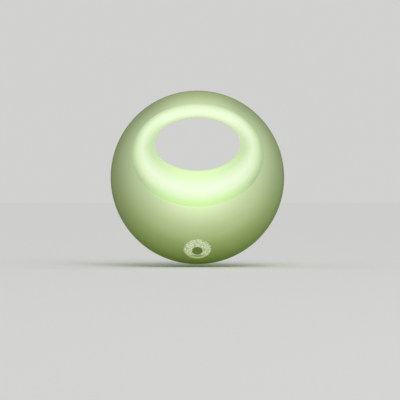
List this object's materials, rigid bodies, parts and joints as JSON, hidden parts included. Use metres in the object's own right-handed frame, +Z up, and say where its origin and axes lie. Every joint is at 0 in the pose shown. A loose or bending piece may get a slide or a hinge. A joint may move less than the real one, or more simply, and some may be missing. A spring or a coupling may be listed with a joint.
{
  "type": "plug-in night light",
  "caption": "Ball-shaped plug-in night light with an oval see-through hole lined by a glowing ring, a light sensor window and a flat two-pin plug.",
  "frame": {"origin": "centre of the plug nose's face, where the pins leave it", "axes": "+Y along the pins towards the socket, -Y the lamp's lit front, +Z up, +X to the right seen from the front"},
  "size_m": [0.076, 0.0795, 0.076],
  "materials": {
    "shell": "satin translucent pistachio green",
    "glow": "satin opal, lit from behind",
    "diffuser": "satin opal",
    "white_board": "white solder mask",
    "led": "white moulding with a yellow lens",
    "lead_insulation": "soft PVC",
    "board": "green solder mask",
    "film_capacitor": "moulded box",
    "can_sleeve": "shrink sleeve",
    "black_moulding": "moulded epoxy",
    "resistor_body": "lacquer",
    "diode_glass": "glass bead",
    "window": "clear textured plastic",
    "rubber_sleeve": "matt",
    "photo_cell": "coated ceramic",
    "nose": "hard white moulding",
    "pin_metal": "nickel-plated brass",
    "pin_sleeve": "insulating sleeve",
    "screw_steel": "zinc plated"
  },
  "bodies": {
    "root": {"front_shell": "shell", "rear_shell": "shell", "ring_diffuser": "glow", "tunnel_sleeve": "diffuser", "led_board": "white_board", "ring_leds": "led", "led_leads": "lead_insulation", "main_board": "board", "dropper_capacitor": "film_capacitor", "smoothing_capacitor": "can_sleeve", "bridge_rectifier": "black_moulding", "fusible_resistor": "resistor_body", "discharge_resistors": "resistor_body", "zener_diode": "diode_glass", "switching_transistor": "black_moulding", "sensor_window": "window", "sensor_holder": "rubber_sleeve", "light_sensor": "photo_cell", "plug_nose": "nose", "left_pin": "pin_metal", "right_pin": "pin_metal", "left_pin_sleeve": "pin_sleeve", "right_pin_sleeve": "pin_sleeve", "pin_clamp": "nose", "clamp_screw": "screw_steel", "mains_leads": "lead_insulation", "shell_screws": "screw_steel", "board_screws": "screw_steel", "plug_screws": "screw_steel"}
  },
  "joints": []
}
